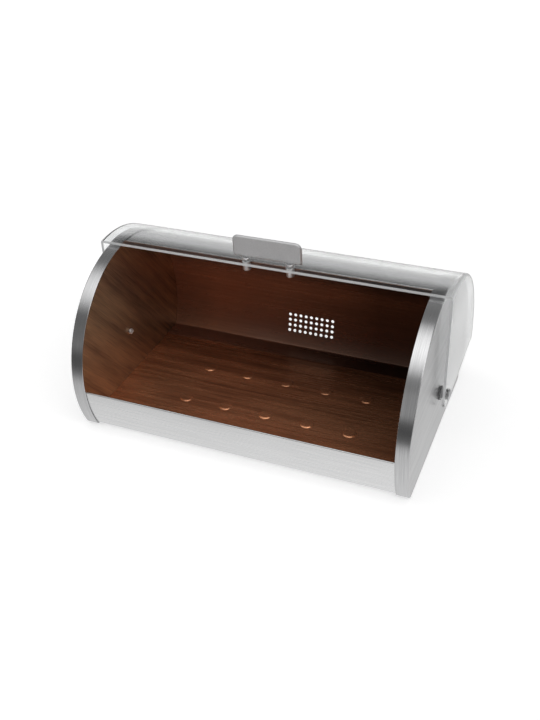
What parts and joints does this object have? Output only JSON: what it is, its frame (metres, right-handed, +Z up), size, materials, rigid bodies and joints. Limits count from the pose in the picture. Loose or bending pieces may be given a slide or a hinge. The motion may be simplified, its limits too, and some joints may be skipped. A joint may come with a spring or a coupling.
{
  "type": "bread box with roll top",
  "caption": "Drum-shaped steel bread box, flat underneath and open at the front, with a clear lid that rolls back over the top about two side pivots.",
  "frame": {"origin": "on the table under the middle of the open box's bounding box; the hinge axis runs along X, 60.4 mm up and 2.6 mm in front of it", "axes": "+Z up, -Y out of the open front, +X to the right hand of someone facing the front (the box's long side)"},
  "size_m": [0.4138, 0.2605, 0.2216],
  "materials": {
    "brushed_steel": "brushed stainless steel, satin; warm dark bronze tone inside",
    "clear_acrylic": "clear moulded acrylic, gloss",
    "satin_grey": "satin grey, bevelled rim",
    "chrome": "polished",
    "black_nylon": "black, fine moulded grain",
    "clear_silicone": "translucent, soft",
    "grey_rubber": "dark grey, matt"
  },
  "bodies": {
    "box": {"base_panel": "brushed_steel", "rear_panel": "brushed_steel", "side_panel_left": "brushed_steel", "pivot_screw_left": "chrome", "pivot_cap_washer_left": "black_nylon", "pivot_bush_left": "black_nylon", "pivot_inner_washer_left": "chrome", "pivot_nut_left": "chrome", "foot_front_left": "grey_rubber", "foot_rear_left": "grey_rubber", "side_panel_right": "brushed_steel", "pivot_screw_right": "chrome", "pivot_cap_washer_right": "black_nylon", "pivot_bush_right": "black_nylon", "pivot_inner_washer_right": "chrome", "pivot_nut_right": "chrome", "foot_front_right": "grey_rubber", "foot_rear_right": "grey_rubber"},
    "lid": {"lid_shell": "clear_acrylic", "handle_plate": "satin_grey", "handle_stud_left": "chrome", "handle_spacer_left": "satin_grey", "handle_seal_left": "clear_silicone", "handle_nut_left": "satin_grey", "handle_stud_right": "chrome", "handle_spacer_right": "satin_grey", "handle_seal_right": "clear_silicone", "handle_nut_right": "satin_grey"}
  },
  "joints": [
    {"name": "lid_hinge", "type": "hinge", "parent": "box", "child": "lid", "pos_m": [0, -0.00255, 0.0604], "axis": [1, 0, 0], "range_deg": [0, 85.5]}
  ]
}
